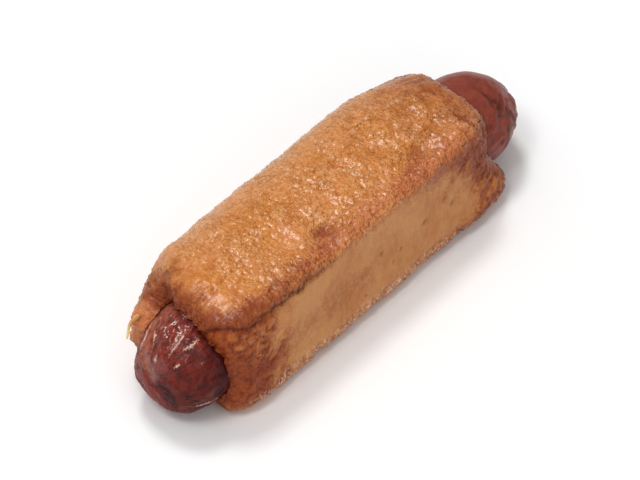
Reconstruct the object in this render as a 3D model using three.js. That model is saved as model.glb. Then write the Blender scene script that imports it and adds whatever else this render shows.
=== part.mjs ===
// Sausage roll: a frankfurter lying right through a jacket of fried dough, with both of its ends showing.
// Millimetres, +Z up. X runs along the sausage, -Y is the smooth pale side, Z = 0 is the flat underside.
// Both solids are grids of points worked out from the named sizes below.
import * as THREE from "three";

// ---- the sausage: its skin, its gentle bend and its two ends
const sausage = {
  radius: 11.4, // where it fills the jacket
  nearSwell: 1.1, // how much fatter it is where it comes out
  farSwell: 0.7,
  swellSpread: 9,
  nearTip: -62.8,
  farTip: 63.2,
  nearCap: 13, // length of each rounded end
  farCap: 15.5,
  nearCapPower: 3, // 2 is an ellipse, more is blunter
  farCapPower: 2.05,
  height: 13.9, // of its middle line above the floor
  sideways: -1.5, // of its middle line, at mid length
  skew: 0.006, // sideways shift for each mm of length
  nearDroop: 1.4, // the ends sink a little
  farDroop: 2.7,
};
// Folds of the skin: how many there are in a turn, how high in mm, how far on they start and how wavy they are.
const pleats = { broad: 7, broadHeight: 0.5, fine: 11, fineHeight: 0.28, fineStart: 0.8, twist: 0.035, wave: 1.3 };
const skinFlats = { count: 5, height: 0.3, start: 0.5 };
const foldShare = { near: 0.42, far: 0.16, farFlats: 0.3 };
const farGroove = { x: 50.8, angle: 122, slant: 0.02, depth: 0.6, along: 1.1, reach: 30 };
// Flats of the shrunken skin, in mm, with their spread along X and round the sausage.
const skinForms = [{ x: -57.5, angle: 26, rise: -2.6, along: 7.5, reach: 34 }];
const nub = { radius: 0.85, length: 1.3 }; // the twisted end of the casing
const sausageRings = 54;
const sausageSides = 36;

// ---- the jacket: a rounded square tube, longer below than above
const jacket = {
  halfWidth: 17.4,
  halfHeight: 15.1,
  crown: 1.2, // the top is domed
  hollow: 0.55, // the pale side is a little hollow
  ridge: 0.95, // the crisp upper edge of the pale side stands proud
  skirt: 0.9, // and so does the frilled lower edge
  nearEnd: -49.6,
  farEnd: 43.5,
  outerRoll: 6.5, // length over which an end rounds off outside
  sideRoll: 4, // and how much longer that is on the pale side
  flapRoll: 6, // or on the thin flap at the back of the near end
  lean: 0.7, // the top leans back towards the far end
  boreRoll: 1.6, // and how short it is inside, against the sausage
  lip: 0.74, // where across its wall an end reaches furthest: 0 on the crust, 1 at the sausage
  gap: 0.34, // free space round the sausage
  mouth: 0.25, // how much wider the hole is at its two mouths
  slack: 0.6, // and more than that at the lower pale side, where the dough stands off
  press: 1.3, // how far the underside was pressed flat by its own weight
};
const outerRings = 48;
const endRings = 8;
const boreRings = 9;
const jacketSides = 66;

// Where an angle round the section points: 0 is the back (+Y), 90 the top, 180 the pale side, 270 the floor.
const topEdgeFront = 138;
const topEdgeBack = 41;
const lowEdgeFront = 221;
const lowEdgeBack = 319;

// How square the section is: 2 is an ellipse. Its edges at the pale side are the sharpest.
const square = { plain: 3.7, crispEdges: 4, backEdge: 1.4, reach: 34 };
// Unevenness of the crust: size of the lumps and their height, both in mm.
const unevenness = { broad: 11, broadHeight: 0.35, coarse: 4.6, coarseHeight: 0.42, fine: 2.6, fineHeight: 0.3 };
const roughTop = { angle: 84, reach: 62, elsewhere: 0.25 };
const frill = { edgeSize: 3.1, edgeShare: 0.75, skirtSize: 4.3, skirtShare: 0.9 };
const rimCrumple = { height: 0.5, size: 1.4, perTurn: 40 };

// Each end stands out or draws back by so many mm round its rim. Reach is the spread in degrees.
const nearRim = [
  { angle: 126, out: 3, reach: 26 },
  { angle: 174, out: 1.7, reach: 20 },
  { angle: 82, out: 1.2, reach: 20 },
  { angle: 48, out: -2.4, reach: 18 },
  { angle: 20, out: 4.4, reach: 15 }, // the flap
  { angle: 346, out: 4.5, reach: 22 },
  { angle: 222, out: 1.4, reach: 26 },
  { angle: 312, out: 1.2, reach: 26 },
  { angle: 8, out: 1.8, reach: 4.5 }, // a torn shred
];
const farRim = [
  { angle: 155, out: -2, reach: 22 },
  { angle: topEdgeBack, out: 1.9, reach: 24 },
  { angle: 222, out: 4.4, reach: 26 },
  { angle: 300, out: 4, reach: 40 },
];

// Swellings (+) and dents (-) of the crust, in mm, with their spread along X and round the section.
const crustForms = [
  { x: -13.5, angle: 125, rise: -1.2, along: 4, reach: 8 },
  { x: -9, angle: 134, rise: 0.7, along: 4.5, reach: 7 },
  { x: 20, angle: 126, rise: -1.1, along: 8, reach: 7 },
  { x: 16, angle: 100, rise: -0.6, along: 4, reach: 9 },
  { x: 32, angle: 133, rise: 0.9, along: 5, reach: 8 },
  { x: 36, angle: 125, rise: -0.8, along: 2, reach: 5 },
  { x: 31, angle: 223, rise: 1.6, along: 6, reach: 13 },
  { x: 41, angle: 223, rise: 1.2, along: 8, reach: 13 },
  { x: 14, angle: 222, rise: -0.7, along: 9, reach: 12 },
  { x: -43, angle: 175, rise: 0.9, along: 6, reach: 30 },
  { x: -43, angle: 222, rise: 0.8, along: 7, reach: 15 },
  { x: -45, angle: 28, rise: -0.9, along: 4, reach: 16 },
  { x: -51.3, angle: 29, rise: -3.5, along: 5.2, reach: 22 },
  { x: 41, angle: 44, rise: -2.9, along: 10, reach: 22 },
  { x: -42, angle: 50, rise: 0.7, along: 6, reach: 14 },
  { x: -8, angle: 48, rise: 0.9, along: 30, reach: 16 },
];

// The crisp edge runs level along the roll, and turns in over the sausage at the near end.
const edgeTurn = { from: -44, to: -54, angle: 119 };
const crease = { below: 6.5, depth: 0.35, nearDepth: 1, nearUntil: -30, reach: 3.4 };

const bell = (distance, spread) => Math.exp(-((distance / spread) ** 2));
const radians = THREE.MathUtils.degToRad;
const mix = THREE.MathUtils.lerp;

// How strongly a direction of the section belongs to a feature at another one, both in degrees.
function facing(angle, centre, reach) {
  const turn = THREE.MathUtils.euclideanModulo(angle - centre + 180, 360) - 180;
  return bell(turn, reach);
}

function formRise(form, x, angle) {
  return form.rise * bell(x - form.x, form.along) * facing(angle, form.angle, form.reach);
}

// A fixed, repeatable number from 0 to 1 for each corner of a grid of cubes.
function corner(i, j, k) {
  const mixed = Math.sin(i * 127.1 + j * 311.7 + k * 74.7) * 43758.5453;
  return mixed - Math.floor(mixed);
}

// Smooth unevenness from -1 to 1, with lumps of the given size.
function lumps(x, y, z, size) {
  const [px, py, pz] = [x / size, y / size, z / size];
  const [i, j, k] = [Math.floor(px), Math.floor(py), Math.floor(pz)];
  const ease = (t) => t * t * (3 - 2 * t);
  const [u, v, w] = [ease(px - i), ease(py - j), ease(pz - k)];
  const along = (b, c) => mix(corner(i, j + b, k + c), corner(i + 1, j + b, k + c), u);
  const level = mix(mix(along(0, 0), along(1, 0), v), mix(along(0, 1), along(1, 1), v), w);
  return 2 * level - 1;
}

// ---- the middle line of the sausage and its thickness

function middle(x) {
  const nearSag = sausage.nearDroop * Math.max(0, (-48 - x) / 15) ** 2;
  const farSag = sausage.farDroop * Math.max(0, (x - 48) / 16) ** 2;
  return {
    y: sausage.sideways + sausage.skew * x,
    z: sausage.height - nearSag - farSag,
  };
}

function sausageRadius(x) {
  const nearSwollen = sausage.nearSwell * bell(x - jacket.nearEnd + 4, sausage.swellSpread);
  const farSwollen = sausage.farSwell * bell(x - jacket.farEnd - 4, sausage.swellSpread);
  return sausage.radius + nearSwollen + farSwollen;
}

// A blunt end: 0 at the tip, 1 where the rounded part is over.
function capShare(fromTip, capLength, power) {
  const left = THREE.MathUtils.clamp(1 - fromTip / capLength, 0, 1);
  return (1 - left ** power) ** (1 / power);
}

// Folds of the shrunken skin: they run along the sausage, and fade where it enters the jacket.
function skinFold(x, angle) {
  const near = THREE.MathUtils.smoothstep(jacket.nearEnd - x, -1, 6);
  const far = THREE.MathUtils.smoothstep(x - jacket.farEnd, 0, 8);
  const twist = radians(angle) + x * pleats.twist;
  const broad = Math.sin(pleats.broad * twist + pleats.wave * Math.sin(2 * twist)) * pleats.broadHeight;
  const fine = Math.sin(pleats.fine * twist + pleats.fineStart) * pleats.fineHeight;
  const flats = Math.cos(skinFlats.count * (radians(angle) - skinFlats.start)) * skinFlats.height;
  const grooveAt = farGroove.x + farGroove.slant * (angle - farGroove.angle);
  const grooved = bell(x - grooveAt, farGroove.along) * facing(angle, farGroove.angle, farGroove.reach);
  const shrunk = skinForms.reduce((sum, form) => sum + formRise(form, x, angle), 0);
  const nearFolds = near * (foldShare.near * (broad + fine) + flats);
  const farFolds = far * (foldShare.far * (broad + fine) + foldShare.farFlats * flats);
  return nearFolds + farFolds - farGroove.depth * grooved + shrunk;
}

function sausagePoint(x, angle) {
  const nearShare = capShare(x - sausage.nearTip, sausage.nearCap, sausage.nearCapPower);
  const farShare = capShare(sausage.farTip - x, sausage.farCap, sausage.farCapPower);
  const share = nearShare * farShare;
  const radius = (sausageRadius(x) + skinFold(x, angle)) * share;
  const { y, z } = middle(x);
  return new THREE.Vector3(x, y + radius * Math.cos(radians(angle)), z + radius * Math.sin(radians(angle)));
}

// Rings lie closer together towards both tips, so that the caps are round.
function sausageStation(ring) {
  const share = ring / (sausageRings - 1);
  const eased = (1 - Math.cos(Math.PI * share)) / 2;
  const spread = mix(share, eased, 0.86);
  return mix(sausage.nearTip, sausage.farTip, spread);
}

// ---- the crust: the outer face of the jacket

function sectionRadius(angle) {
  const crisp = facing(angle, topEdgeFront, square.reach) + facing(angle, lowEdgeFront, square.reach);
  const back = facing(angle, lowEdgeBack, square.reach);
  const squareness = square.plain + square.crispEdges * crisp + square.backEdge * back;
  const across = Math.abs(Math.cos(radians(angle)) / jacket.halfWidth) ** squareness;
  const upright = Math.abs(Math.sin(radians(angle)) / jacket.halfHeight) ** squareness;
  return (across + upright) ** (-1 / squareness);
}

// The angle at which the crisp edge stands, at one place along the roll.
function edgeAngle(x) {
  const turned = THREE.MathUtils.smoothstep(-x, -edgeTurn.from, -edgeTurn.to);
  return mix(topEdgeFront - 1.5, edgeTurn.angle, turned ** 1.5);
}

function crustPoint(x, angle) {
  const plain = sectionRadius(angle);
  const direction = new THREE.Vector3(0, Math.cos(radians(angle)), Math.sin(radians(angle)));
  const at = direction.clone().multiplyScalar(plain).setX(x);
  const crisp = 1 + frill.edgeShare * lumps(x, 5, 5, frill.edgeSize);
  const frilled = 1 + frill.skirtShare * lumps(x, 40, 5, frill.skirtSize);
  let rise = jacket.crown * facing(angle, 90, 34);
  rise -= jacket.hollow * facing(angle, 178, 24);
  rise += jacket.ridge * crisp * facing(angle, edgeAngle(x), 6.5);
  const creaseLevel = THREE.MathUtils.smoothstep(x, crease.nearUntil - 6, crease.nearUntil);
  const creaseDepth = mix(crease.nearDepth, crease.depth, creaseLevel);
  rise -= creaseDepth * facing(angle, edgeAngle(x) + crease.below, crease.reach);
  rise += jacket.skirt * frilled * facing(angle, lowEdgeFront + 1, 7);
  for (const form of crustForms) rise += formRise(form, x, angle);
  const rough = mix(roughTop.elsewhere, 1, facing(angle, roughTop.angle, roughTop.reach));
  rise += rough * unevenness.coarseHeight * lumps(at.x, at.y, at.z, unevenness.coarse);
  rise += rough * unevenness.fineHeight * lumps(at.x + 60, at.y, at.z, unevenness.fine);
  rise += unevenness.broadHeight * lumps(at.x, at.y + 30, at.z, unevenness.broad);
  rise += jacket.press * facing(angle, 270, 36);
  at.addScaledVector(direction, rise).add(new THREE.Vector3(0, 0, jacket.halfHeight));
  at.y += jacket.lean * THREE.MathUtils.smoothstep(x, -5, 46) * (at.z / jacket.halfHeight - 1);
  return at;
}

// The hole that the sausage fills, opening out at its two mouths.
function borePoint(x, angle) {
  const mouths = bell(x - jacket.nearEnd, 4) + bell(x - jacket.farEnd, 4);
  const mouth = jacket.mouth + jacket.slack * facing(angle, 208, 34);
  const share = capShare(x - sausage.nearTip, sausage.nearCap, sausage.nearCapPower);
  const radius = (sausageRadius(x) + skinFold(x, angle)) * share + jacket.gap + mouth * mouths;
  const { y, z } = middle(x);
  return new THREE.Vector3(x, y + radius * Math.cos(radians(angle)), z + radius * Math.sin(radians(angle)));
}

// The length over which an end rounds off, at one place across the wall: 0 outside, 1 at the hole.
function rollLength(end, angle, depth) {
  const flap = end < 0 ? jacket.flapRoll * facing(angle, 0, 45) : 0;
  const outside = jacket.outerRoll + jacket.sideRoll * facing(angle, 170, 55) + flap;
  return depth < 0.5 ? outside : jacket.boreRoll;
}

function rimAt(end, rim, angle) {
  const outwards = Math.sign(end);
  const lobes = rim.reduce((sum, lobe) => sum + lobe.out * facing(angle, lobe.angle, lobe.reach), 0);
  const crumpled = rimCrumple.height * lumps(end, (angle * rimCrumple.perTurn) / 360, 7, rimCrumple.size);
  return end + outwards * (lobes + crumpled);
}

// One trip round the wall of the jacket at one angle: out along the crust, over the far rim,
// back along the hole and over the near rim.
function wallPoint(step, angle) {
  const near = rimAt(jacket.nearEnd, nearRim, angle);
  const far = rimAt(jacket.farEnd, farRim, angle);
  let x;
  let depth; // 0 on the crust, 1 on the hole
  const trip = [outerRings, endRings, boreRings, endRings];
  const leg = trip.findIndex((count, i) => step < trip.slice(0, i + 1).reduce((a, b) => a + b));
  const share = (step - trip.slice(0, leg).reduce((a, b) => a + b, 0) + 0.5) / trip[leg];
  const roll = Math.PI * (leg === 3 ? 1 - share : share);
  const rolled = (1 - Math.cos(roll)) / 2;
  const set = rollLength(leg === 1 ? far : near, angle, rolled) * (1 - Math.sin(roll));
  const overLip = Math.max(rolled - 0.5, 0) * 2;
  if (leg === 0) {
    x = mix(near + rollLength(near, angle, 0), far - rollLength(far, angle, 0), share);
    depth = 0;
  } else if (leg === 2) {
    x = mix(far - jacket.boreRoll, near + jacket.boreRoll, share);
    depth = 1;
  } else {
    x = leg === 1 ? far - set : near + set;
    depth = mix(Math.min(rolled, 0.5) * 2 * jacket.lip, 1, overLip);
  }
  const point = crustPoint(x, angle).lerp(borePoint(x, angle), depth);
  point.z = Math.max(point.z, 0); // its underside is pressed flat
  return point;
}

// ---- grids of points into closed geometry

// Joins rows of points to a skin. Rows close on themselves; wrap also joins the last row to the first.
function gridFaces(rows, sides, wrap) {
  const faces = [];
  for (let row = 0; row < (wrap ? rows : rows - 1); row++) {
    for (let side = 0; side < sides; side++) {
      const here = row * sides;
      const next = ((row + 1) % rows) * sides;
      const turn = (side + 1) % sides;
      faces.push(here + side, here + turn, next + side);
      faces.push(here + turn, next + turn, next + side);
    }
  }
  return faces;
}

function solidGeometry(points, faces) {
  const geometry = new THREE.BufferGeometry().setFromPoints(points);
  geometry.setIndex(faces);
  geometry.computeVertexNormals();
  return geometry;
}

function makeSausage() {
  const points = [];
  for (let ring = 1; ring < sausageRings - 1; ring++) {
    for (let side = 0; side < sausageSides; side++) {
      points.push(sausagePoint(sausageStation(ring), (360 * side) / sausageSides));
    }
  }
  const farEnd = middle(sausage.farTip);
  for (const share of [0, 0.8]) {
    for (let side = 0; side < sausageSides; side++) {
      const angle = radians((360 * side) / sausageSides);
      const out = nub.radius * (1 - 0.35 * share);
      points.push(
        new THREE.Vector3(
          sausage.farTip + nub.length * share,
          farEnd.y + out * Math.cos(angle),
          farEnd.z + out * Math.sin(angle),
        ),
      );
    }
  }
  const rows = points.length / sausageSides;
  const faces = gridFaces(rows, sausageSides, false);
  const nearEnd = middle(sausage.nearTip);
  const nearPole = points.push(new THREE.Vector3(sausage.nearTip, nearEnd.y, nearEnd.z)) - 1;
  const farPole = points.push(new THREE.Vector3(sausage.farTip + nub.length, farEnd.y, farEnd.z)) - 1;
  const lastRow = (rows - 1) * sausageSides;
  for (let side = 0; side < sausageSides; side++) {
    const turn = (side + 1) % sausageSides;
    faces.push(nearPole, turn, side);
    faces.push(farPole, lastRow + side, lastRow + turn);
  }
  return solidGeometry(points, faces);
}

function makeJacket() {
  const points = [];
  const rows = outerRings + boreRings + 2 * endRings;
  for (let row = 0; row < rows; row++) {
    for (let side = 0; side < jacketSides; side++) points.push(wallPoint(row, (360 * side) / jacketSides));
  }
  return solidGeometry(points, gridFaces(rows, jacketSides, true));
}

function addPiece(group, name, geometry, look) {
  const mesh = new THREE.Mesh(geometry, new THREE.MeshStandardMaterial(look));
  mesh.name = name;
  group.add(mesh);
}

const sausageRoll = new THREE.Group();
addPiece(sausageRoll, "jacket", makeJacket(), { color: 0xb9763a, roughness: 0.5, metalness: 0 });
addPiece(sausageRoll, "sausage", makeSausage(), { color: 0x6e2a20, roughness: 0.3, metalness: 0 });

// Centred over its footprint, lying on Z = 0.
const centre = new THREE.Box3().setFromObject(sausageRoll).getCenter(new THREE.Vector3());
for (const piece of sausageRoll.children) piece.geometry.translate(-centre.x, -centre.y, 0);

export default sausageRoll;
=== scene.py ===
# Sausage roll: a frankfurter fried in a jacket of dough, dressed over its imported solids.
# Sizes in the dictionaries are millimetres and degrees unless a note says otherwise.
import math

import bmesh
import bpy
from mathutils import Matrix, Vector, noise
from mathutils.bvhtree import BVHTree


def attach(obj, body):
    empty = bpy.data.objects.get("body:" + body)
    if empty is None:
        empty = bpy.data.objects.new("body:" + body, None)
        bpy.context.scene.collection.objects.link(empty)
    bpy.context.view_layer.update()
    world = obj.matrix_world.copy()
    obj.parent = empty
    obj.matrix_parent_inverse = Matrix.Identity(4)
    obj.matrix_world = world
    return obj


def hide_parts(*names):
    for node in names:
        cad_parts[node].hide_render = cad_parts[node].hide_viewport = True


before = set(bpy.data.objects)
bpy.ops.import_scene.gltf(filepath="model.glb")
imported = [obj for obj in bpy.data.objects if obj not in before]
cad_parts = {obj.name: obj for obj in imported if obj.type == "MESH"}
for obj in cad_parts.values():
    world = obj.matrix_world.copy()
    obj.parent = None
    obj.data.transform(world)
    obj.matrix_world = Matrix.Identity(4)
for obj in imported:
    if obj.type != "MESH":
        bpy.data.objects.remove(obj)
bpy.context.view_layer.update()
mm = 0.001
print("frame loaded")


# small tools

def mix(a, b, share):
    return a + (b - a) * share


def ease(value, low, high):
    # 0 below low, 1 above high, smooth between; high may be the smaller one
    share = min(max((value - low) / (high - low), 0.0), 1.0)
    return share * share * (3.0 - 2.0 * share)


def bell(distance, spread):
    return math.exp(-((distance / spread) ** 2))


def turnTo(angle, centre):
    return (angle - centre + 180.0) % 360.0 - 180.0


def facing(angle, centre, reach):
    return bell(turnTo(angle, centre), reach)


def chance(point):
    # a fixed number from 0 to 1 that belongs to a point
    raw = math.sin(point.x * 12.9898 + point.y * 78.233 + point.z * 37.719) * 43758.5453
    return raw - math.floor(raw)


def deselectAll():
    if bpy.context.mode != "OBJECT":
        bpy.ops.object.mode_set(mode="OBJECT")
    bpy.ops.object.select_all(action="DESELECT")


def pick(piece):
    deselectAll()
    piece.select_set(True)
    bpy.context.view_layer.objects.active = piece


def finishWith(piece, kind, **settings):
    # puts one modifier on a piece and applies it
    modifier = piece.modifiers.new(kind.lower(), kind)
    for setting, value in settings.items():
        setattr(modifier, setting, value)
    pick(piece)
    bpy.ops.object.modifier_apply(modifier=modifier.name)


def mergedCopy(node):
    # a copy of a solid with its loose triangles joined, only used as a guide
    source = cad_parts[node]
    guide = bpy.data.objects.new(node + "Guide", source.data.copy())
    bpy.context.scene.collection.objects.link(guide)
    pick(guide)
    bpy.ops.object.mode_set(mode="EDIT")
    bpy.ops.mesh.select_all(action="SELECT")
    bpy.ops.mesh.remove_doubles(threshold=0.002 * mm)
    bpy.ops.object.mode_set(mode="OBJECT")
    return guide


def toSolid(node, at):
    # how many millimetres a point is away from a solid
    return trees[node].find_nearest(at)[3] / mm


def startRing(name, sides, x, spot, reach):
    # a ring of points across X, spot is its middle (y, z) and reach its half sizes
    deselectAll()
    middle = (x * mm, spot[0] * mm, spot[1] * mm)
    bpy.ops.mesh.primitive_circle_add(vertices=sides, radius=mm, fill_type="NOTHING",
                                      location=middle, rotation=(0.0, math.pi / 2, 0.0))
    piece = bpy.context.object
    piece.name = name
    bpy.ops.object.transform_apply(location=True, rotation=True, scale=True)
    bpy.ops.object.mode_set(mode="EDIT")
    bpy.ops.mesh.select_all(action="SELECT")
    bpy.ops.transform.resize(value=(1.0, reach[0], reach[1]), center_override=middle)
    return piece, {"x": x, "spot": spot, "reach": reach}


def pullRing(last, x, spot, reach):
    # draws the next ring out of the last one
    move = ((x - last["x"]) * mm, (spot[0] - last["spot"][0]) * mm, (spot[1] - last["spot"][1]) * mm)
    bpy.ops.mesh.extrude_region_move(TRANSFORM_OT_translate={"value": move})
    growth = (1.0, reach[0] / last["reach"][0], reach[1] / last["reach"][1])
    bpy.ops.transform.resize(value=growth, center_override=(x * mm, spot[0] * mm, spot[1] * mm))
    last.update({"x": x, "spot": spot, "reach": reach})


def paint(piece, name, colours):
    # three values for each point, which its material reads back as a colour
    layer = piece.data.attributes.new(name, "FLOAT_COLOR", "POINT")
    flat = [share for colour in colours for share in (colour[0], colour[1], colour[2], 1.0)]
    layer.data.foreach_set("color", flat)


def bubbles(place, size, thinnest, thickest):
    # round blisters of many sizes: the height of the one at this place, as a share of size
    distances, points = noise.voronoi(place / size)
    reach = mix(thinnest, thickest, chance(points[0]))
    dome = 1.0 - (distances[0] / reach) ** 2
    return reach * math.sqrt(dome) if dome > 0.0 else 0.0


def pebbles(place, size):
    # close-packed grains with sharp valleys between them, from 0 to 1
    distances, _ = noise.voronoi(place / size)
    gap = min((distances[1] - distances[0]) / 0.55, 1.0)
    return 1.0 - (1.0 - gap) ** 2


# the camera, from where the photograph looks

view = {
    "turn": -49.13,
    "rise": 46.0,
    "target": (-4.65, 0.0, 13.58),
    "distance": 1200.0,
    "pixelsPerMm": 4.269,
    "frameWidth": 640.0,
    "sensor": 36.0,
}


def placeCamera():
    turn = math.radians(view["turn"])
    rise = math.radians(view["rise"])
    back = Vector((math.sin(turn) * math.cos(rise), -math.cos(turn) * math.cos(rise), math.sin(rise)))
    lens = bpy.data.cameras.new("camera")
    lens.sensor_width = view["sensor"]
    lens.lens = view["sensor"] * view["distance"] * view["pixelsPerMm"] / view["frameWidth"]
    lens.clip_start = 0.01
    lens.clip_end = 20.0
    camera = bpy.data.objects.new("camera", lens)
    camera.location = (Vector(view["target"]) + back * view["distance"]) * mm
    camera.rotation_euler = (-back).to_track_quat("-Z", "Y").to_euler()
    bpy.context.scene.collection.objects.link(camera)
    bpy.context.scene.camera = camera


placeCamera()
print("camera placed")


# the solids as guides for the pieces, and as trees for measuring distances
guides = {}
trees = {}
for node in ("jacket", "sausage"):
    guides[node] = mergedCopy(node)
    trees[node] = BVHTree.FromObject(guides[node], bpy.context.evaluated_depsgraph_get())


# the jacket of fried dough

jacketShape = {
    "sides": 74,
    "crustRings": 62,
    "boreSteps": (0.0, 1.2, 3.5, 9.0, 24.0),  # places of the rings in the hole, from each mouth
    "spot": (0.90, 15.1),  # middle of its section, y and z
    "halfWidth": 17.7,
    "halfHeight": 15.6,
    "squareness": 4.0,
    "nearEnd": -50.45,
    "farEnd": 42.65,
    "outerRoll": 7.0,
    "boreRoll": 1.8,
    "rimTurns": (30, 60, 90, 120, 150),  # places of the rings round each rim
    "lip": 0.74,  # where across its wall an end reaches furthest
    "boreSpot": (-0.60, 13.9),
    "boreRadius": 12.6,
    "boreDroop": 1.4,  # the hole sinks this much over the length after it starts to
    "droopFrom": -48.85,
    "droopLength": 15.0,
    "crispEdge": 136.5,  # where round the section the crisp upper edge runs: 0 is +Y, 90 the top
    "edgeTurnFrom": -44.85,  # near the end that edge turns in over the sausage
    "edgeTurnTo": -54.85,
    "edgeTurnAngle": 119.0,
    "sectors": 60,  # directions in which the reach of its ends is read from the solid
    "endsFrom": 30.0,  # the ends lie further out along X than this
    "stretchFrom": 18.0,  # and from here on the rings are moved to meet them
    "middle": -4.0,
    "hugFrom": 4.0,  # within this distance of the sausage the mouths close in on it
    "hugTo": 1.5,
    "hugGap": 0.1,
}

# the torn shred at the flap: rings by x, middle (y, z) and reach
shredRings = (
    (-54.0, (12.2, 18.9), (0.50, 0.90)),
    (-55.2, (13.0, 18.0), (0.50, 0.95)),
    (-56.0, (13.4, 16.9), (0.42, 0.85)),
    (-56.7, (13.2, 15.8), (0.40, 0.60)),
    (-57.5, (12.7, 14.9), (0.45, 0.55)),
    (-58.0, (12.6, 14.1), (0.25, 0.30)),
)


def squareSection(angle):
    # how far a rounded square reaches, as a share of its half sizes
    power = jacketShape["squareness"]
    return (abs(math.cos(angle)) ** power + abs(math.sin(angle)) ** power) ** (-1.0 / power)


def angleAt(place, spot):
    # the direction of a place round a middle (y, z), in degrees
    return math.degrees(math.atan2(place.z - spot[1], place.y - spot[0])) % 360.0


def rimReach(guide, outwards):
    # how far the solid's end reaches along X in each direction round it
    sectors = jacketShape["sectors"]
    reach = [None] * sectors
    for vert in guide.data.vertices:
        place = vert.co / mm
        if place.x * outwards < jacketShape["endsFrom"]:
            continue
        angle = turnTo(angleAt(place, jacketShape["spot"]), 0.0)
        sector = int(angle / 360.0 * sectors + 0.5) % sectors
        if reach[sector] is None or place.x * outwards > reach[sector] * outwards:
            reach[sector] = place.x
    return reach


def makeJacketCage(guide):
    shape = jacketShape
    outer = (shape["halfWidth"], shape["halfHeight"])
    bore = (shape["boreRadius"], shape["boreRadius"])
    start = shape["nearEnd"] + shape["outerRoll"]
    end = shape["farEnd"] - shape["outerRoll"]
    piece, last = startRing("jacketCrust", shape["sides"], start, shape["spot"], outer)
    form = bmesh.from_edit_mesh(piece.data)
    for vert in form.verts:
        across = vert.co.y - shape["spot"][0] * mm
        upright = vert.co.z - shape["spot"][1] * mm
        stretch = squareSection(math.atan2(upright / outer[1], across / outer[0]))
        vert.co.y = shape["spot"][0] * mm + across * stretch
        vert.co.z = shape["spot"][1] * mm + upright * stretch
    bmesh.update_edit_mesh(piece.data)

    depths = [0.0]

    def pullWall(x, depth):
        # depth goes from 0 on the crust to 1 on the hole
        depths.append(depth)
        spot = tuple(mix(a, b, depth) for a, b in zip(shape["spot"], shape["boreSpot"]))
        pullRing(last, x, spot, tuple(mix(a, b, depth) for a, b in zip(outer, bore)))

    def pullRim(turn, end, inwards):
        roll = shape["outerRoll"] if turn < 90 else shape["boreRoll"]
        rolled = 1.0 - math.cos(math.radians(turn))
        depth = mix(min(rolled, 1.0) * shape["lip"], 1.0, max(rolled - 1.0, 0.0))
        pullWall(end + inwards * roll * (1.0 - math.sin(math.radians(turn))), depth)

    for ring in range(1, shape["crustRings"] + 1):
        pullWall(mix(start, end, ring / shape["crustRings"]), 0.0)
    for turn in shape["rimTurns"]:
        pullRim(turn, shape["farEnd"], -1.0)
    inFar = shape["farEnd"] - shape["boreRoll"]
    inNear = shape["nearEnd"] + shape["boreRoll"]
    for step in shape["boreSteps"]:
        pullWall(inFar - step, 1.0)
    for step in reversed(shape["boreSteps"]):
        pullWall(inNear + step, 1.0)
    for turn in reversed(shape["rimTurns"]):
        pullRim(turn, shape["nearEnd"], 1.0)
    bpy.ops.mesh.select_all(action="DESELECT")
    bpy.ops.mesh.select_non_manifold(use_wire=False, use_boundary=True, use_multi_face=False,
                                     use_non_contiguous=False, use_verts=False)
    bpy.ops.mesh.bridge_edge_loops()
    bpy.ops.mesh.select_all(action="SELECT")
    bpy.ops.mesh.normals_make_consistent(inside=False)
    bpy.ops.object.mode_set(mode="OBJECT")

    sectors = shape["sectors"]
    reaches = {outwards: rimReach(guide, outwards) for outwards in (-1.0, 1.0)}
    for index, vert in enumerate(piece.data.vertices):
        place = vert.co / mm
        outwards = math.copysign(1.0, place.x)
        named = shape["nearEnd"] if outwards < 0.0 else shape["farEnd"]
        spread = angleAt(place, shape["spot"]) / 360.0 * sectors % sectors
        low = int(spread)
        there = mix(reaches[outwards][low], reaches[outwards][(low + 1) % sectors], spread - low)
        place.x += (there - named) * ease(place.x * outwards, shape["stretchFrom"], abs(named))
        depth = depths[index // shape["sides"]]
        if depth >= shape["lip"]:
            place = betweenFaces(place, outwards * min(abs(place.x), abs(there) - 2.0), depth)
        vert.co = place * mm
    finishWith(piece, "SHRINKWRAP", target=guide, wrap_method="NEAREST_SURFACEPOINT")
    return piece


def betweenFaces(place, inside, depth):
    # moves a point of the rim or the hole to where the solid has it
    # inside is a place along X within the wall
    shape = jacketShape
    droop = shape["boreDroop"] * max(0.0, (shape["droopFrom"] - place.x) / shape["droopLength"]) ** 2
    middle = Vector((inside, shape["boreSpot"][0], shape["boreSpot"][1] - droop))
    outwards = Vector((0.0, place.y - middle.y, place.z - middle.z)).normalized()
    wellOut = 2.0 * shape["halfWidth"]
    hole = trees["jacket"].ray_cast(middle * mm, outwards)[3]
    crust = trees["jacket"].ray_cast((middle + wellOut * outwards) * mm, -outwards)[3]
    if hole is None or crust is None:
        return place
    share = 0.45 * (1.0 - depth) / (1.0 - shape["lip"])
    placed = middle + outwards * mix(hole / mm, wellOut - crust / mm, share)
    placed.x = place.x
    return placed


def makeShred():
    piece, last = startRing("shred", 8, *shredRings[0])
    for ring in shredRings[1:]:
        pullRing(last, *ring)
    closeEnds()
    finishWith(piece, "SUBSURF", levels=2, render_levels=2)
    return piece


def closeEnds():
    # fills the open ends of the drawn-out piece in edit mode and turns its faces outward
    bpy.ops.mesh.select_all(action="DESELECT")
    bpy.ops.mesh.select_non_manifold(use_wire=False, use_boundary=True, use_multi_face=False,
                                     use_non_contiguous=False, use_verts=False)
    bpy.ops.mesh.edge_face_add()
    bpy.ops.mesh.poke()
    bpy.ops.mesh.select_all(action="SELECT")
    bpy.ops.mesh.normals_make_consistent(inside=False)
    bpy.ops.object.mode_set(mode="OBJECT")


def crispEdge(x):
    shape = jacketShape
    turned = ease(x, shape["edgeTurnFrom"], shape["edgeTurnTo"])
    return mix(shape["crispEdge"], shape["edgeTurnAngle"], turned ** 1.5)


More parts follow.
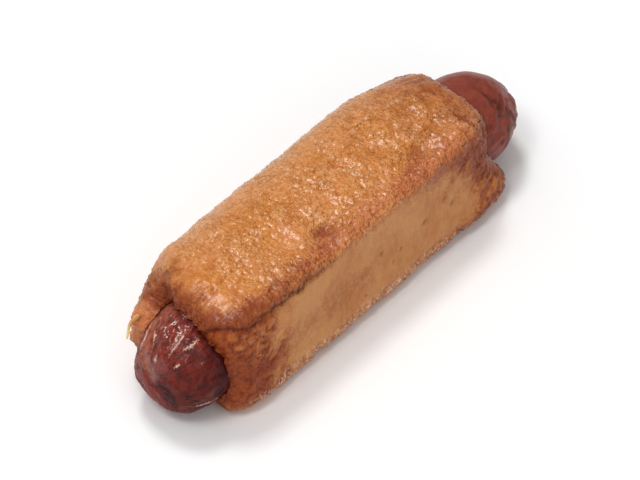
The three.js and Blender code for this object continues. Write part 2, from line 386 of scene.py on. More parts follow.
crustLook = {
    "blisterSize": 1.4,
    "blisterReach": (0.35, 0.8),  # the smallest and the largest blister, as shares of that size
    "blisterHeight": 0.36,
    "grainSize": 0.95,
    "grainHeight": 0.25,
    "patchSize": 6.5,  # in some patches the blisters are lower, by this share
    "patchShare": 0.7,
    "swellSize": 5.5,  # soft swellings under the blisters
    "swellHeight": 0.35,
    "knobSize": 1.8,  # the crumpled knobs along the ridge
    "knobHeight": 0.65,
    "crumpleSize": 2.5,  # the cracked dough at both ends
    "crumpleHeight": 0.75,
    "wrinkleHeight": 0.09,  # faint wrinkles of the smooth side
    "pitSize": 6.5,
    "pitReach": (-0.14, 0.12),
    "pitDepth": 0.4,
    "hemAngle": 213.0,
    "hemSize": 1.5,
    "hemHeight": 0.8,
    "creaseAt": 5.5,  # degrees below the ridge
    "creaseWidth": 1.8,
    "creaseDepth": 0.6,
    "degreesPerMm": 3.3,  # round the section
}

# stretches along X, each from where something is absent to where it is there in full
crustStretches = {
    "nearEnd": (-29.0, -46.0),
    "farEnd": (28.0, 38.0),
    "corner": (-41.0, -48.0),
    "flap": (-50.0, -52.5),
    "ridge": (39.0, 30.0),
    "brownRidge": (34.0, 20.0),
    "coralRidge": (-48.0, -10.0),
    "belowRidge": (0.0, 20.0),
    "crease": (38.0, 30.0),
    "deepCrease": (-6.0, -34.0),
    "lowSwell": (-30.0, -44.0),
    "dullTop": (-30.0, -46.0),
    "hem": (-52.0, -42.0),
    "brownHem": (15.0, 32.0),
    "faintHem": (16.0, 30.0),
    "farSide": (17.0, 29.0),
    "farTop": (0.0, 38.0),
    "nearTop": (-34.0, -50.0),
    "faintDents": (16.0, 22.0),
    "nearHalf": (0.0, -1.0),
    "farLip": (36.0, 39.0),
    "mouths": (38.0, 42.0),
}

# how much each part of the crust is browned; a pair is for two places or states
browning = {
    "ridge": (0.5, 1.15),  # at mid length, at the near end
    "knobs": (1.0, 0.5),  # in their cracks, on their tops
    "belowRidge": 0.5,
    "nearFolds": (1.0, 0.55),
    "nearLow": 0.4,
    "corner": 0.35,
    "farFolds": (0.75, 0.525),
    "farCrown": 0.15,
    "farSide": 0.4,
    "farTop": 0.42,
    "nearTop": 0.38,
    "hem": (0.35, 0.75),  # near half, far half
    "dents": (1.6, 0.7),
    "mouths": (0.2, 0.8),  # far, near
    "under": 0.35,
}

# single marks: place along X, angle, half lengths along and round, height
crustMarks = (
    (35.3, 128.0, 0.8, 2.8, -0.8),
    (32.3, 134.0, 0.7, 2.2, -0.55),
    (38.4, 140.0, 0.8, 3.2, -0.6),
    (33.9, 136.0, 0.9, 2.4, 0.5),
    (29.6, 137.0, 1.6, 2.2, 0.5),
    (27.2, 139.0, 0.7, 1.6, -0.4),
    (21.0, 124.0, 4.2, 2.4, -0.5),
    (14.4, 131.0, 2.6, 1.6, -0.55),
    (-14.3, 124.0, 3.6, 2.4, -0.55),
    (-16.5, 133.0, 2.4, 1.4, -0.5),
    (-11.0, 133.0, 1.3, 1.3, 0.5),
)

# brown spots on the smooth side: place along X, angle, size
crustSpots = (
    (21.8, 171.0, 0.8),
    (14.6, 179.0, 0.9),
    (24.5, 183.0, 0.6),
    (-1.5, 172.0, 0.6),
    (6.0, 186.0, 0.5),
)


def onStretch(name, x):
    return ease(x, *crustStretches[name])


def lumpy(place, size, shift):
    # rounded lumps, from 0 in the sharp cracks between them to 1
    coarse = abs(noise.noise(place / size + Vector((shift, 0.0, 0.0))))
    fine = abs(noise.noise(place / (0.45 * size) + Vector((0.0, shift, 0.0))))
    return min((coarse + 0.5 * fine) / 0.55, 1.0)


def ridgy(place, size):
    # thin raised folds, from 0 between them to 1 on their tops
    folds = noise.ridged_multi_fractal(place / size, 1.0, 2.1, 2, 1.0, 2.0)
    return ease(folds, 0.5, 1.5)


def readCrust(at, normal):
    # how much a point of the crust belongs to each part of it, in millimetres and degrees
    place = at / mm
    x = place.x
    boreY, boreZ = jacketShape["boreSpot"]
    angle = angleAt(place, jacketShape["spot"])
    fromBore = Vector((0.0, place.y - boreY, place.z - boreZ)).normalized()
    wobble = noise.noise(place / 5.0)
    ripple = noise.noise(place / 1.7 + Vector((9.0, 0.0, 0.0)))
    below = turnTo(angle, crispEdge(x) + 1.8 * wobble + 2.0 * ripple)
    sideLow = crustLook["hemAngle"] + 2.0 * wobble
    side = ease(below, 4.0, 10.0) * ease(angle, sideLow + 4.0, sideLow - 3.0)
    nearEnd = onStretch("nearEnd", x + 6.0 * wobble + 2.5 * ripple)
    farEnd = onStretch("farEnd", x + 4.0 * wobble + 2.0 * ripple + 4.0 * facing(angle, 150.0, 20.0))
    under = ease(place.z, 2.2, 0.6)
    return {
        "place": place,
        "x": x,
        "angle": angle,
        "ripple": ripple,
        "below": below,
        "outside": ease(normal.dot(fromBore), -0.75, -0.1),  # 0 in the hole
        "side": side,
        "nearEnd": nearEnd,
        "farEnd": farEnd,
        "pale": side * (1.0 - nearEnd) * (1.0 - farEnd),
        "ridge": bell(below + 2.0, 8.0) * onStretch("ridge", x),
        "crown": (1.0 - side) * (1.0 - under),
        "corner": onStretch("corner", x + 2.0 * wobble) * facing(angle, 40.0, 32.0),
        "flap": onStretch("flap", x + ripple) * facing(angle, 6.0, 38.0),
        "touching": toSolid("sausage", at),
        "under": under,
        "back": ease(abs(turnTo(angle, 10.0)), 62.0, 25.0),
        "rim": ease(abs(normal.x), 0.35, 0.85),
        "hem": facing(angle, sideLow, 5.0),
    }


def markAt(x, angle):
    # the height of the single marks at a place, and how deep it lies in one of them
    height = 0.0
    depth = 0.0
    for markX, markAngle, along, reach, markHeight in crustMarks:
        if abs(x - markX) < 3.0 * along:
            spread = crustLook["degreesPerMm"] * reach
            mark = markHeight * bell(x - markX, along) * facing(angle, markAngle, spread)
            height += mark
            depth = max(depth, -mark)
    return height, depth


def pitAt(spot):
    # how deep a point of the smooth side lies in a small pit or a brown spot, from 0 to 1
    look = crustLook
    gaps, middles = noise.voronoi(spot["place"] / look["pitSize"] + Vector((0.0, 0.0, 4.0)))
    reach = mix(*look["pitReach"], chance(middles[0]))
    pit = ease(gaps[0], reach, reach * 0.3) * spot["pale"] if reach > 0.02 else 0.0
    for spotX, spotAngle, size in crustSpots:
        away = spot["x"] - spotX
        if abs(away) < 3.0 * size:
            across = facing(spot["angle"], spotAngle, look["degreesPerMm"] * size)
            pit = max(pit, bell(away, size) * across)
    return pit


def crustForms(spot):
    # the forms that the crust has at a point, most of them from 0 to 1
    look = crustLook
    place = spot["place"]
    x = spot["x"]
    blister = bubbles(place, look["blisterSize"], *look["blisterReach"])
    grain = pebbles(place + Vector((31.0, 0.0, 0.0)), look["grainSize"]) - 0.5
    patch = ease(noise.noise(place / look["patchSize"] + Vector((0.0, 5.0, 0.0))), -0.6, 0.25)
    ends = max(spot["nearEnd"], 0.8 * spot["farEnd"]) * max(spot["side"], spot["rim"])
    markHeight, dent = markAt(x, spot["angle"])
    nearness = onStretch("deepCrease", x)
    crease = bell(spot["below"] - look["creaseAt"], look["creaseWidth"]) * mix(0.04, 1.0, nearness)
    return {
        "grain": grain,
        "beads": look["blisterHeight"] * blister + look["grainHeight"] * grain,
        "lively": spot["crown"] * (1.0 - 0.15 * spot["back"]) * mix(look["patchShare"], 1.0, patch),
        "swell": noise.noise(place / look["swellSize"] + Vector((3.0, 0.0, 0.0))),
        "folds": lumpy(place, look["crumpleSize"], 0.0),
        "knobs": lumpy(place, look["knobSize"], 17.0),
        "wrinkle": noise.noise(Vector((x / 2.6, 0.0, place.z / 7.0))),
        "frill": ridgy(Vector((x, 3.0, place.z * 0.7)), look["hemSize"]),
        "ends": max(ends, spot["corner"]),
        "mark": markHeight,
        "dent": dent,
        "pit": pitAt(spot),
        "nearness": nearness,
        "crease": crease * onStretch("crease", x),
    }


def crustRise(spot, form):
    # the height of the crust over the solid
    look = crustLook
    swelling = (1.0 - 0.6 * spot["side"]) * mix(1.0, 0.3, onStretch("lowSwell", spot["x"]))
    rise = form["lively"] * form["beads"]
    rise += look["swellHeight"] * form["swell"] * swelling
    rise += spot["ridge"] * look["knobHeight"] * (form["knobs"] - 0.5)
    rise += form["ends"] * (look["crumpleHeight"] * (form["folds"] - 0.6) + 0.15 * form["grain"])
    rise += spot["pale"] * (look["wrinkleHeight"] * form["wrinkle"] + 0.05 * spot["ripple"])
    rise += spot["hem"] * look["hemHeight"] * (form["frill"] - 0.4)
    rise += form["mark"] - look["pitDepth"] * form["pit"] - look["creaseDepth"] * form["crease"]
    return rise


def crustBrown(spot, form):
    # how brown the crust is, from 0 to 1
    share = browning
    x = spot["x"]
    side = spot["side"]
    below = bell(spot["below"] - 8.0, 7.0)
    upperSide = facing(spot["angle"], 158.0, 28.0)

    ridge = mix(*share["ridge"], form["nearness"]) * mix(*share["knobs"], form["knobs"])
    brown = spot["ridge"] * ridge * onStretch("brownRidge", x)
    brown += share["belowRidge"] * below * onStretch("belowRidge", x)
    nearSide = mix(*share["nearFolds"], form["folds"]) + share["nearLow"] * ease(spot["place"].z, 14.0, 4.0)
    brown += spot["nearEnd"] * side * nearSide + share["corner"] * spot["corner"]
    farSide = side * mix(*share["farFolds"], form["folds"]) + share["farCrown"] * spot["crown"]
    brown += spot["farEnd"] * farSide
    brown += share["farSide"] * onStretch("farSide", x + 3.0 * spot["ripple"]) * side * upperSide
    farTop = share["farTop"] * onStretch("farTop", x) * (1.0 - 0.6 * spot["ridge"])
    brown += spot["crown"] * (farTop + share["nearTop"] * onStretch("nearTop", x))
    brown += spot["hem"] * mix(*share["hem"], onStretch("brownHem", x))
    brown += form["dent"] * mix(*share["dents"], onStretch("faintDents", x))
    brown += ease(spot["touching"], 6.0, 1.0) * mix(*share["mouths"], onStretch("nearHalf", x))
    brown += share["under"] * spot["under"]
    return min(brown * (1.0 - 0.6 * spot["flap"]), 1.0)


def crustPaint(spot, form):
    # the three sets of three values that the material reads
    x = spot["x"]
    ridge = spot["ridge"]
    folds = form["folds"]
    beads = form["beads"]
    lively = form["lively"]

    # painted shade: dark in the cracks between knobs and folds, in the crease below the ridge and where the
    # crust meets the sausage
    crack = form["ends"] * ease(folds, 0.3, 0.05)
    crack += ridge * mix(0.1, 0.9, form["nearness"]) * ease(form["knobs"], 0.3, 0.05)
    contactShade = ease(spot["touching"], 2.2, 0.7) * mix(0.35, 0.55, onStretch("nearHalf", x))
    contactShade *= 1.0 - 0.5 * spot["flap"]
    dark = min(form["crease"] + contactShade + 0.7 * crack, 1.0)
    # painted shade: darker in the hollows between blisters and in the cracks between folds
    hollowShade = max(ease(beads, 0.04, -0.07) * lively, form["ends"] * ease(folds, 0.5, 0.1))
    # painted highlight: a pale line on the far lip beside the sausage, and along the fringe at the lower
    # edge
    lip = 0.5 * bell(spot["touching"] - 2.4, 0.5) * onStretch("farLip", x)
    hem = spot["hem"] * mix(0.2, 1.0, form["frill"]) * onStretch("hem", x)
    hem *= mix(1.0, 0.35, onStretch("faintHem", x))
    oily = min(lively + ridge, 1.0) * mix(1.0, 0.5, onStretch("dullTop", x))
    # coral: on the flap the dough's own lighter orange, on the ridge a painted highlight
    coral = max(spot["flap"], 0.9 * ridge * onStretch("coralRidge", x))

    tone = (spot["pale"], crustBrown(spot, form), ease(beads, 0.05, 0.25) * lively)
    marks = (dark, max(hem, lip), form["pit"])
    finish = (oily, hollowShade, coral)
    return tone, marks, finish


def shredPaint(z):
    # the shred is orange where it leaves the flap and pale at its tip
    return (0.0, 0.0, 0.0), (0.0, 0.0, 0.35 + 0.65 * ease(z, 18.0, 15.0)), (0.0, 0.0, 1.0)


def hugSausage(at, touching):
    # draws the mouths of the jacket in until they touch the sausage
    fromMiddle = abs(at.x / mm - jacketShape["middle"])
    share = ease(touching, jacketShape["hugFrom"], jacketShape["hugTo"]) * onStretch("mouths", fromMiddle)
    if share == 0.0:
        return at
    nearest = trees["sausage"].find_nearest(at)[0]
    left = jacketShape["hugGap"] / max(touching, jacketShape["hugGap"])
    return at + (nearest - at) * (share * (1.0 - left))


def roughenCrust(piece, shredFrom):
    # the points from shredFrom on are the shred's
    mesh = piece.data
    spots = [vert.co.copy() for vert in mesh.vertices]
    normals = [vert.normal.copy() for vert in mesh.vertices]
    painted = []
    for vert, at, normal in zip(mesh.vertices, spots, normals):
        z = at.z / mm
        if vert.index >= shredFrom:
            painted.append(shredPaint(z))
            continue
        spot = readCrust(at, normal)
        form = crustForms(spot)
        rise = crustRise(spot, form) * spot["outside"] * ease(z, 0.0, 0.5)
        moved = hugSausage(at, spot["touching"]) + normal * (rise * mm)
        moved.z = max(moved.z, 0.0)
        vert.co = moved
        painted.append(crustPaint(spot, form))
    for name, colours in zip(("tone", "marks", "finish"), zip(*painted)):
        paint(piece, name, colours)


def makeJacket():
    piece = makeJacketCage(guides["jacket"])
    finishWith(piece, "SUBSURF", levels=2, render_levels=2)
    shredFrom = len(piece.data.vertices)
    shred = makeShred()
    pick(piece)
    shred.select_set(True)
    bpy.ops.object.join()
    roughenCrust(piece, shredFrom)
    pick(piece)
    bpy.ops.object.shade_smooth()
    return piece


jacket = makeJacket()
print("jacket shaped,", len(jacket.data.polygons), "faces")


# the sausage

sausageShape = {
    "sides": 56,
    "spot": (-0.60, 13.9),
    "radius": 11.6,
    "nearTip": -63.6,
    "farTip": 62.35,
    "nearCap": 12.0,
    "farCap": 15.0,
    "nearRings": 15,
    "middleRings": 6,
    "farRings": 17,
    "nearInside": -44.0,  # from here to there it is hidden in the jacket
    "farInside": 36.0,
    "farDroop": 2.7,
    "nub": (0.85, 63.6),  # the twisted end of its skin, radius and tip
}


def makeSausageCage(guide):
    shape = sausageShape

    def girth(x):
        near = min(max(1.0 - (x - shape["nearTip"]) / shape["nearCap"], 0.0), 1.0)
        far = min(max(1.0 - (shape["farTip"] - x) / shape["farCap"], 0.0), 1.0)
        return shape["radius"] * (1.0 - near ** 3) ** (1.0 / 3.0) * math.sqrt(1.0 - far ** 2)

    def spotAt(x):
        droop = shape["farDroop"] * max(0.0, (x - 46.0) / 16.0) ** 2
        return (shape["spot"][0], shape["spot"][1] - droop)

    stations = []
    for ring in range(shape["nearRings"]):
        share = (ring + 0.5) / shape["nearRings"]
        stations.append(mix(shape["nearTip"], shape["nearInside"], share ** 1.35))
    for ring in range(shape["middleRings"]):
        stations.append(mix(shape["nearInside"], shape["farInside"], (ring + 0.5) / shape["middleRings"]))
    for ring in range(shape["farRings"]):
        share = (ring + 0.5) / shape["farRings"]
        stations.append(mix(shape["farTip"], shape["farInside"], (1.0 - share) ** 1.35))
    rings = [(x, spotAt(x), (girth(x), girth(x))) for x in stations]
    nubRadius, nubTip = shape["nub"]
    for share, growth in ((0.0, 1.3), (0.5, 1.0), (1.0, 0.7)):
        reach = nubRadius * growth
        rings.append((mix(shape["farTip"], nubTip, share), spotAt(shape["farTip"]), (reach, reach)))
    piece, last = startRing("sausageSkin", shape["sides"], *rings[0])
    for ring in rings[1:]:
        pullRing(last, *ring)
    closeEnds()
    finishWith(piece, "SHRINKWRAP", target=guide, wrap_method="NEAREST_SURFACEPOINT")
    return piece


skinLook = {
    "foldsAround": 4.3,  # the skin's radius in widths of its folds
    "foldLength": 6.0,
    "foldHeight": 0.75,
    "shrivelSize": 3.4,
    "shrivelShare": 0.4,  # its height as a share of the folds'
    "farShrivel": 0.5,
    "rippleHeight": 0.08,
    "mottleSize": 3.2,
    "lineHeight": 0.25,
    "creaseAt": 49.95,  # a thin crease across the far end
    "creaseLean": 0.02,
    "creaseDepth": 0.3,
}

# stretches along X, each from where something is absent to where it is there in full
skinStretches = {
    "near": (-46.0, -49.0),
    "far": (42.0, 46.0),
    "offTip": (-63.2, -59.0),
    "nub": (62.5, 63.1),
}

# places round the skin, each a middle and a spread in degrees
skinSides = {
    "upper": (100.0, 55.0),
    "low": (195.0, 55.0),
    # where the painted reflection lies on the upper-left facet
    "reflectionBand": (50.0, 24.0),
    "gloss": (92.0, 40.0),
    "wrinkled": (160.0, 56.0),
    "crease": (120.0, 24.0),
    "lobe": (172.0, 30.0),
}

# painted highlights on the near end, with painted reflections along its left and lower edges, as light
# lines:
# angle at the middle, degrees it turns per millimetre, spread in degrees, middle along X, half length
glintLines = (
    (84.0, 1.3, 2.6, -55.4, 2.0),
    (90.0, 0.0, 9.0, -51.7, 0.5),
    (107.0, -1.1, 2.6, -58.2, 3.8),
    (101.0, -1.1, 2.0, -57.4, 2.4),
    (118.5, 0.2, 2.8, -56.6, 2.8),
    (90.0, 0.0, 4.0, -62.3, 0.9),
    (128.0, 0.0, 3.0, -61.0, 0.8),
    (68.0, -2.0, 2.4, -59.0, 2.6),
    (36.0, 0.0, 4.0, -57.5, 5.0),
    (207.0, 0.0, 3.5, -57.0, 4.0),
)


def readSkin(at):
    # where a point of the skin lies, and the patterns there
    look = skinLook
    place = at / mm
    x = place.x
    angle = angleAt(place, sausageShape["spot"])
    turn = math.radians(angle)
    ripple = noise.noise(place / 1.8)
    bent = 0.6 * noise.noise(place / 4.5 + Vector((0.0, 7.0, 0.0)))
    around = Vector((x / look["foldLength"],
                     math.cos(turn) * look["foldsAround"] + bent,
                     math.sin(turn) * look["foldsAround"] + bent))
    creaseAt = look["creaseAt"] + look["creaseLean"] * (angle - skinSides["crease"][0])
    creaseAt += 1.6 * noise.noise(place / 4.0) + 0.5 * ripple
    spot = {name: facing(angle, *side) for name, side in skinSides.items()}
    spot.update({name: ease(x, *stretch) for name, stretch in skinStretches.items()})
    spot.update({
        "ripple": ripple,
        "fold": ridgy(around, 1.0),
        "shrivel": ridgy(place + Vector((0.0, 40.0, 0.0)), look["shrivelSize"]),
        "blotch": ease(noise.noise(place / look["mottleSize"]) + 0.5 * ripple, -0.1, 0.4),
        "line": lineAt(x, angle + 4.0 * bent, ripple),
        "crossing": bell(x - creaseAt, 0.7) * spot["crease"],
        "shrunk": spot["far"] * spot["wrinkled"],
        "touching": toSolid("jacket", at),
    })
    return spot


def lineAt(x, angle, ripple):
    # how much painted highlight there is, from 0 to 1
    line = 0.0
    for lineAngle, lean, spread, middle, reach in glintLines:
        away = x - middle
        across = facing(angle, lineAngle + lean * away, spread)
        line = max(line, bell(away + 0.5 * ripple, reach) * across)
    return line


def skinRise(spot):
    # the height of the skin over the solid
    look = skinLook
    folded = mix(0.25, 1.0, spot["upper"]) * spot["offTip"] * (spot["fold"] - 0.5)
    folded += look["shrivelShare"] * (spot["shrivel"] - 0.5)
    rise = spot["near"] * look["foldHeight"] * folded
    rise += spot["shrunk"] * look["farShrivel"] * (spot["shrivel"] - 0.5)
    rise += look["rippleHeight"] * (spot["near"] + 0.7 * spot["far"]) * spot["ripple"]
    return rise + look["lineHeight"] * spot["line"] - look["creaseDepth"] * spot["crossing"]


def skinPaint(spot):
    # the two sets of three values that the material reads
    near = spot["near"]
    # the far end's blotches, darker in the valleys of its wrinkles, which is painted shade
    patches = spot["shrunk"] * mix(0.1, 1.0, spot["blotch"]) * mix(1.0, 0.3, spot["shrivel"])
    mark = max(spot["crossing"] * mix(0.5, 1.0, spot["blotch"]), patches, spot["nub"])
    # painted shadow: the skin darkened where it meets the jacket and beside the lobe of dough
    contactShade = ease(spot["touching"], 2.6, 0.5) * mix(0.5, 1.0, near)
    lobeShadow = 0.85 * near * ease(spot["touching"] + spot["ripple"], 6.0, 2.0) * spot["lobe"]
    gloss = near * spot["gloss"] * mix(0.6, 1.0, spot["fold"])
    tone = (near * spot["low"], gloss, mark)
    return tone, (near * spot["reflectionBand"], spot["line"], max(contactShade, lobeShadow))


def wrinkleSkin(piece):
    mesh = piece.data
    spots = [vert.co.copy() for vert in mesh.vertices]
    normals = [vert.normal.copy() for vert in mesh.vertices]
    painted = []
    for vert, at, normal in zip(mesh.vertices, spots, normals):
        spot = readSkin(at)
        vert.co = at + normal * (skinRise(spot) * mm)
        painted.append(skinPaint(spot))
    for name, colours in zip(("tone", "marks"), zip(*painted)):
        paint(piece, name, colours)


def makeSausage():
    piece = makeSausageCage(guides["sausage"])
    finishWith(piece, "SUBSURF", levels=2, render_levels=2)
    wrinkleSkin(piece)
    pick(piece)
    bpy.ops.object.shade_smooth()
    return piece


sausage = makeSausage()
for guide in guides.values():
    bpy.data.objects.remove(guide)
print("sausage shaped,", len(sausage.data.polygons), "faces")


# materials, with their maths written as expressions

class Wire:
    # one output in a material; arithmetic on it adds Math nodes
    def __init__(self, finish, socket):
        self.finish = finish
        self.socket = socket

    def __add__(self, other):
        return self.finish.maths("ADD", self, other)

    def __radd__(self, other):
        return self.finish.maths("ADD", other, self)

    def __sub__(self, other):
        return self.finish.maths("SUBTRACT", self, other)

    def __rsub__(self, other):
        return self.finish.maths("SUBTRACT", other, self)

    def __mul__(self, other):
        return self.finish.maths("MULTIPLY", self, other)

    def __rmul__(self, other):
        return self.finish.maths("MULTIPLY", other, self)


class Finish:
    # a material while it is being wired up
    def __init__(self, name):
        self.material = bpy.data.materials.new(name)
        self.material.use_nodes = True
        self.tree = self.material.node_tree
        self.tree.nodes.clear()
        self.place = self.node("ShaderNodeTexCoord", take="Object")

    def node(self, kind, settings=None, inputs=None, take=0):
        node = self.tree.nodes.new(kind)
        for setting, value in (settings or {}).items():
            setattr(node, setting, value)
        for socket, value in (inputs or {}).items():
            if isinstance(value, Wire):
                self.tree.links.new(value.socket, node.inputs[socket])
            else:
                node.inputs[socket].default_value = value
        return Wire(self, node.outputs[take]) if len(node.outputs) else node

    def maths(self, operation, a, b):
        return self.node("ShaderNodeMath", {"operation": operation}, {0: a, 1: b})

    def blend(self, share, a, b):
        colours = [value if isinstance(value, Wire) else (*value, 1.0) for value in (a, b)]
        return self.node("ShaderNodeMix", {"data_type": "RGBA", "clamp_factor": True},
                         {0: share, 6: colours[0], 7: colours[1]}, take=2)

    def step(self, value, low, high):
        return self.node("ShaderNodeMapRange", {"interpolation_type": "SMOOTHSTEP"},
                         {0: value, 1: low, 2: high, 3: 0.0, 4: 1.0})

    def lumps(self, size, detail=2.0, rough=0.5, shift=0.0):
        # soft noise, shifted by metres along X so that no two patterns fall together
        shifted = self.node("ShaderNodeVectorMath", {"operation": "ADD"},
                            {0: self.place, 1: (shift, 0.0, 0.0)})
        settings = {"Vector": shifted, "Scale": 1.0 / (size * mm), "Detail": detail, "Roughness": rough}
        return self.node("ShaderNodeTexNoise", None, settings)

    def streaks(self, size, length, shift=0.0):
        # noise drawn out along X
        scale = (1.0 / (length * mm), 1.0 / (size * mm), 1.0 / (size * mm))
        stretched = self.node("ShaderNodeVectorMath", {"operation": "MULTIPLY_ADD"},
                              {0: self.place, 1: scale, 2: (shift, shift, shift)})
        settings = {"Vector": stretched, "Scale": 1.0, "Detail": 3.0, "Roughness": 0.55}
        return self.node("ShaderNodeTexNoise", None, settings)

    def cells(self, size):
        # the distance to the middle of the nearest cell
        return self.node("ShaderNodeTexVoronoi", {"feature": "F1"},
                         {"Vector": self.place, "Scale": 1.0 / (size * mm)}, take="Distance")

    def along(self, axis):
        split = self.tree.nodes.new("ShaderNodeSeparateXYZ")
        self.tree.links.new(self.place.socket, split.inputs[0])
        return Wire(self, split.outputs[axis])

    def painted(self, name):
        colour = self.node("ShaderNodeAttribute", {"attribute_name": name}, take="Color")
        split = self.tree.nodes.new("ShaderNodeSeparateColor")
        self.tree.links.new(colour.socket, split.inputs[0])
        return [Wire(self, output) for output in split.outputs]

    def bump(self, height, distance):
        return self.node("ShaderNodeBump", None,
                         {"Height": height, "Distance": distance * mm, "Strength": 1.0})

    def close(self, piece, inputs):
        shader = self.node("ShaderNodeBsdfPrincipled", None, inputs)
        self.node("ShaderNodeOutputMaterial", None, {"Surface": shader})
        piece.data.materials.clear()
        piece.data.materials.append(self.material)


crustColours = {
    "gold": (0.62, 0.206, 0.030),
    "amber": (0.54, 0.155, 0.012),
    "straw": (0.67, 0.245, 0.066),
    # painted highlight for the blister tops
    "blisterGlint": (0.95, 0.56, 0.26),
    # painted shade for the hollows and the valleys between domes
    "valleyShade": (0.36, 0.080, 0.010),
    "back": (0.70, 0.36, 0.18),
    "side": (0.56, 0.245, 0.083),
    "sideWarm": (0.48, 0.178, 0.050),
    "sidePale": (0.62, 0.300, 0.125),
    "rust": (0.255, 0.041, 0.008),
    "vein": (0.15, 0.020, 0.006),
    # painted shade for the cracks, the crease and the mouths beside the sausage
    "paintedShade": (0.10, 0.012, 0.004),
    "pit": (0.25, 0.085, 0.022),
    # painted highlight of the fringe and the far lip
    "frill": (0.86, 0.54, 0.37),
    "coral": (0.66, 0.205, 0.072),
    "shred": (0.80, 0.60, 0.24),
}


def dressCrust(piece):
    tones = crustColours
    crust = Finish("friedDough")
    pale, brown, crest = crust.painted("tone")
    dark, hem, pit = crust.painted("marks")
    oily, hollowShade, coral = crust.painted("finish")
    wide = crust.lumps(10.0, 2.0)
    patchy = crust.lumps(3.8, 3.0, 0.6, 0.2)
    fine = crust.lumps(0.7, 2.0, 0.6, 0.4)
    small = crust.cells(0.55)
    large = crust.cells(0.95)

    top = crust.blend(crust.step(wide, 0.38, 0.62), tones["gold"], tones["straw"])
    top = crust.blend(crust.step(patchy, 0.48, 0.66) * 0.8, top, tones["amber"])
    top = crust.blend(crust.step(crust.along("Y"), 0.006, 0.017) * 0.7, top, tones["back"])
    # painted shade in the hollows and between the small domes
    top = crust.blend(hollowShade * 0.22, top, tones["valleyShade"])
    top = crust.blend(crust.step(large, 0.42, 0.70) * 0.08 * oily, top, tones["valleyShade"])
    # painted highlight: blister tops and cell middles lightened where the crust is glossy
    top = crust.blend((crest * 0.28 + crust.step(small, 0.34, 0.10) * 0.5) * oily, top, tones["blisterGlint"])
    grain = crust.streaks(4.0, 1.2, 3.0)
    side = crust.blend(crust.step(wide * 0.6 + patchy * 0.4, 0.40, 0.62), tones["side"], tones["sideWarm"])
    side = crust.blend(crust.step(grain, 0.40, 0.70) * 0.35, side, tones["sidePale"])
    colour = crust.blend(pale, top, side)
    mottled = crust.step(brown + (fine - 0.5) * 0.25 + (patchy - 0.5) * 0.9, 0.08, 1.0)
    colour = crust.blend(mottled * 0.92, colour, tones["rust"])
    level = crust.lumps(2.6, 3.0, 0.6, 0.9) - 0.5
    veins = crust.step(level * level, 0.0016, 0.0002) * brown * (1.0 - oily)
    colour = crust.blend(veins * 0.75, colour, tones["vein"])
    # the flap's own lighter orange, and a painted highlight along the ridge
    colour = crust.blend(coral * 0.65, colour, tones["coral"])
    # painted shade in the cracks, the crease and along the sausage
    colour = crust.blend(dark * 0.85, colour, tones["paintedShade"])
    atShred = crust.step(crust.along("X"), -0.0530, -0.0535)
    colour = crust.blend(pit * 0.8 * (1.0 - atShred), colour, tones["pit"])
    colour = crust.blend(pit * atShred, colour, tones["shred"])
    # painted highlight along the fringe and the far lip
    colour = crust.blend(hem * crust.step(fine, 0.42, 0.60), colour, tones["frill"])

    rough = 0.50 - 0.12 * crust.step(patchy, 0.35, 0.6) + 0.15 * pale
    domes = (1.0 - small * small) * 0.5 + (1.0 - large * large) * 0.8
    height = domes * (0.10 + 0.90 * oily) + 0.3 * fine
    crust.close(piece, {
        "Base Color": colour,
        "Roughness": rough,
        "Normal": crust.bump(height, 0.7),
        "Coat Weight": (0.08 + 0.62 * oily + 0.4 * hem) * (1.0 - 0.8 * dark) * (1.0 - 0.4 * mottled),
        "Coat Roughness": 0.23,
        "Specular IOR Level": 0.15,
    })


skinColours = {
    "red": (0.260, 0.015, 0.005),
    "rosy": (0.235, 0.026, 0.013),
    "farRosy": (0.245, 0.048, 0.028),
    # dark patches, and painted shade in the wrinkles
    "dark": (0.080, 0.010, 0.008),
    "purple": (0.088, 0.010, 0.007),
    "brown": (0.150, 0.030, 0.018),
    # dark patches of the lower skin, and the painted shadow beside the jacket
    "bruiseAndShadow": (0.024, 0.003, 0.005),
    # painted shade for the crease and wrinkle valleys, also the dark blotches and nub
    "crease": (0.050, 0.008, 0.007),
    # painted reflection of the white surroundings
    "reflectionBand": (0.41, 0.118, 0.060),
    # painted highlight colour
    "line": (0.85, 0.54, 0.42),
}


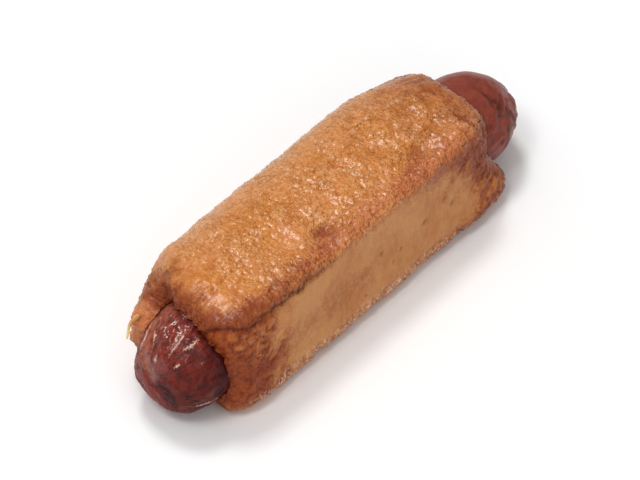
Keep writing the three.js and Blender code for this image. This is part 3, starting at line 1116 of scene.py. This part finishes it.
def dressSkin(piece):
    tones = skinColours
    skin = Finish("sausageSkin")
    low, gloss, marks = skin.painted("tone")
    reflectionBand, line, contactShade = skin.painted("marks")
    wide = skin.lumps(7.0, 2.0)
    patchy = skin.lumps(2.6, 3.0, 0.6, 0.3)
    bruised = skin.lumps(3.6, 3.0, 0.6, 0.8)
    fine = skin.lumps(0.7, 2.0, 0.6, 0.6)
    wrinkles = skin.streaks(1.3, 4.5)
    farSide = skin.step(skin.along("X"), 0.0, 0.01)
    nearSide = 1.0 - farSide
    colour = skin.blend(skin.step(wide, 0.4, 0.62), tones["red"], tones["rosy"])
    colour = skin.blend(farSide, colour, tones["farRosy"])
    colour = skin.blend(skin.step(patchy, 0.48, 0.66) * (0.25 + 0.5 * nearSide), colour, tones["dark"])
    # painted reflection of the white surroundings on the upper-left facet
    colour = skin.blend(reflectionBand * (0.5 + 0.4 * skin.step(patchy, 0.6, 0.4)), colour, tones["reflectionBand"])
    colour = skin.blend(low * 0.85, colour, tones["purple"])
    colour = skin.blend(low * skin.step(patchy, 0.50, 0.40) * 0.6, colour, tones["brown"])
    colour = skin.blend(low * skin.step(bruised, 0.47, 0.60) * 0.8, colour, tones["bruiseAndShadow"])
    # painted shade in the valleys of the wrinkles on the near end
    colour = skin.blend(skin.step(wrinkles, 0.48, 0.36) * nearSide * 0.5, colour, tones["dark"])
    # painted shadow where the skin meets the jacket
    colour = skin.blend(contactShade * 0.8, colour, tones["bruiseAndShadow"])
    # painted shade in the thin crease and the far wrinkles' valleys; the blotches and the nub are the
    # skin's own dark
    colour = skin.blend(marks * 0.85, colour, tones["crease"])
    # painted highlights broken into chains along the light lines
    glints = skin.step(line + (skin.streaks(0.32, 0.9, 5.0) - 0.5) * 2.4, 0.50, 0.95)
    colour = skin.blend(glints * 0.75, colour, tones["line"])
    height = 0.2 * fine + 0.4 * patchy + wrinkles * (0.2 + 1.7 * nearSide * (1.0 - 0.6 * low))
    skin.close(piece, {
        "Base Color": colour,
        "Roughness": 0.42 + 0.16 * skin.step(patchy, 0.4, 0.7),
        "Normal": skin.bump(height, 0.9),
        "Coat Weight": (0.22 + 0.78 * gloss) * (1.0 - 0.6 * low) * (1.0 - 0.7 * contactShade),
        "Coat Roughness": 0.10,
        "Specular IOR Level": 0.08,
    })


dressCrust(jacket)
dressSkin(sausage)
print("materials wired")

for piece, node, slot in ((jacket, "jacket", "fried_dough"), (sausage, "sausage", "sausage_skin")):
    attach(piece, "root")
    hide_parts(node)


# floor and light

studio = {
    "floor": (0.92, 0.92, 0.92),
    "sky": 0.33,
    "lamps": (  # place, size and power in metres and watts
        ((0.15, 0.40, 1.30), 0.30, 6.5),
        ((-0.62, -0.05, 1.20), 0.34, 4.5),
        ((-0.20, 0.10, 1.25), 1.60, 4.0),
        ((-0.95, -1.30, 1.00), 2.00, 9.0),
    ),
}


def lightStudio():
    deselectAll()
    bpy.ops.mesh.primitive_plane_add(size=6.0, location=(0.0, 0.0, -0.0001))
    floor = bpy.context.object
    floor.name = "floor"
    plain = Finish("floorPaint")
    plain.close(floor, {"Base Color": (*studio["floor"], 1.0), "Roughness": 0.9})
    world = bpy.data.worlds.new("studio")
    world.use_nodes = True
    sky = world.node_tree.nodes["Background"]
    sky.inputs["Color"].default_value = (1.0, 1.0, 1.0, 1.0)
    sky.inputs["Strength"].default_value = studio["sky"]
    bpy.context.scene.world = world
    for number, (place, size, power) in enumerate(studio["lamps"]):
        glow = bpy.data.lights.new("lamp" + str(number), "AREA")
        glow.size = size
        glow.energy = power
        lamp = bpy.data.objects.new("lamp" + str(number), glow)
        lamp.location = place
        lamp.rotation_euler = (-Vector(place)).to_track_quat("-Z", "Y").to_euler()
        bpy.context.scene.collection.objects.link(lamp)
    bpy.context.scene.view_settings.view_transform = "Standard"


lightStudio()
print("studio lit")
